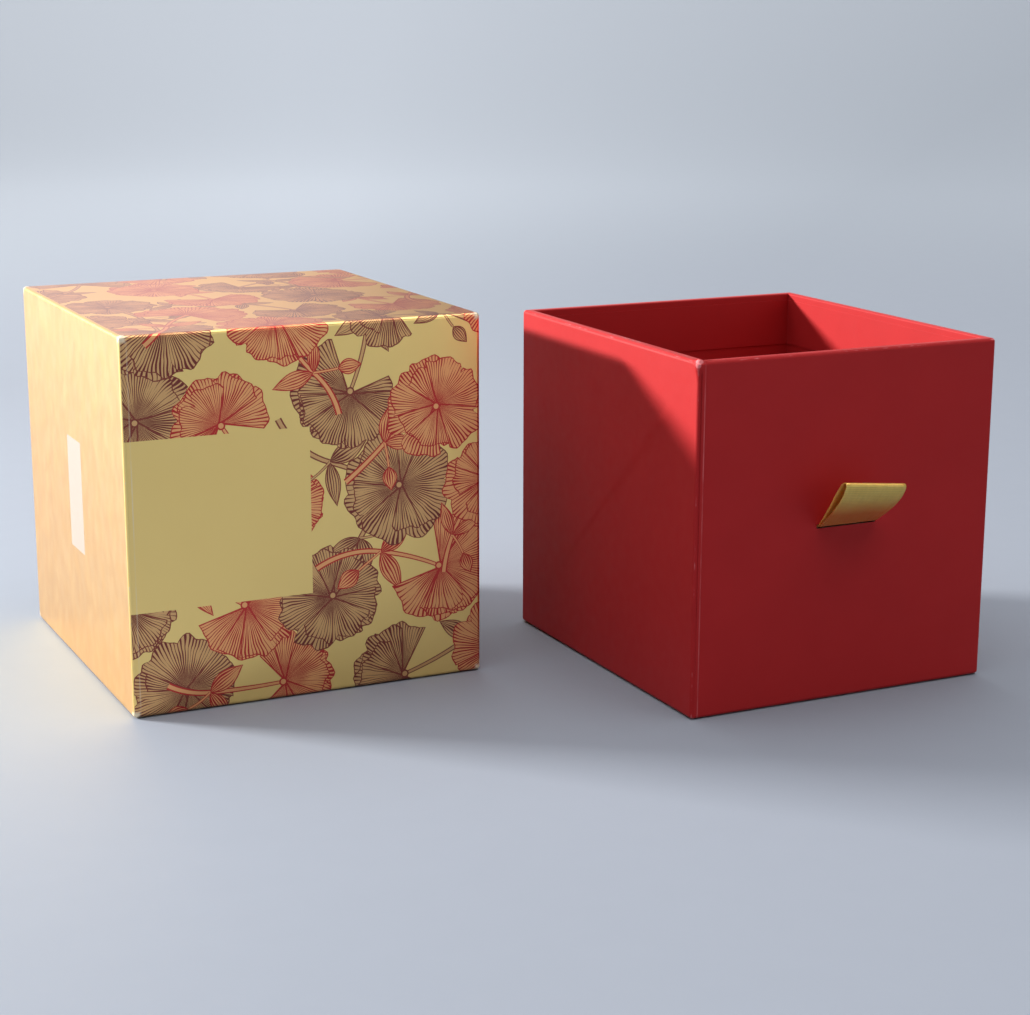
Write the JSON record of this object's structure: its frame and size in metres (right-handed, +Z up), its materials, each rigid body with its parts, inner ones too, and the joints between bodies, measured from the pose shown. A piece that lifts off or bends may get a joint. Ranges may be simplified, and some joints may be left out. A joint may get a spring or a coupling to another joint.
{
  "type": "drawer box",
  "caption": "Rigid paper-covered drawer box for a candle: a foil-papered sleeve open at the back, and a red tray with a ribbon pull standing beside it.",
  "frame": {"origin": "centre of the sleeve's underside, on the surface that both boxes stand on", "axes": "+X to the right across both fronts, +Y to the back, into the sleeve's open end, +Z up"},
  "size_m": [0.2216, 0.1785, 0.1],
  "materials": {
    "printed_foil_paper": "satin",
    "red_paper": "satin",
    "greyboard": "matte",
    "kraft_tape": "matte",
    "white_lining_paper": "matte",
    "gold_satin": "satin"
  },
  "bodies": {
    "sleeve": {"sleeve_end_board": "greyboard", "sleeve_top_board": "greyboard", "sleeve_base_board": "greyboard", "sleeve_left_board": "greyboard", "sleeve_right_board": "greyboard", "sleeve_stay_top_left": "kraft_tape", "sleeve_stay_top_right": "kraft_tape", "sleeve_stay_base_left": "kraft_tape", "sleeve_stay_base_right": "kraft_tape", "sleeve_wrap": "printed_foil_paper", "sleeve_base_sheet": "printed_foil_paper", "sleeve_lining": "white_lining_paper", "sleeve_end_lining": "white_lining_paper"},
    "drawer": {"drawer_base_board": "greyboard", "drawer_front_board": "greyboard", "drawer_back_board": "greyboard", "drawer_left_board": "greyboard", "drawer_right_board": "greyboard", "drawer_stay_front_left": "kraft_tape", "drawer_stay_front_right": "kraft_tape", "drawer_stay_back_left": "kraft_tape", "drawer_stay_back_right": "kraft_tape", "drawer_wrap": "red_paper", "drawer_base_sheet": "red_paper", "drawer_lining": "red_paper", "drawer_floor_lining": "red_paper", "ribbon_tails": "gold_satin"},
    "ribbon": {"ribbon_loop": "gold_satin"}
  },
  "joints": [
    {"name": "drawer_slide", "type": "slide", "parent": "sleeve", "child": "drawer", "axis": [0, -1, 0], "range_m": [-0.1006, 0]},
    {"name": "ribbon_flex", "type": "hinge", "parent": "drawer", "child": "ribbon", "pos_m": [0.1264, -0.11405, 0.04785], "axis": [1, 0, 0], "range_deg": [-35, 100]}
  ]
}
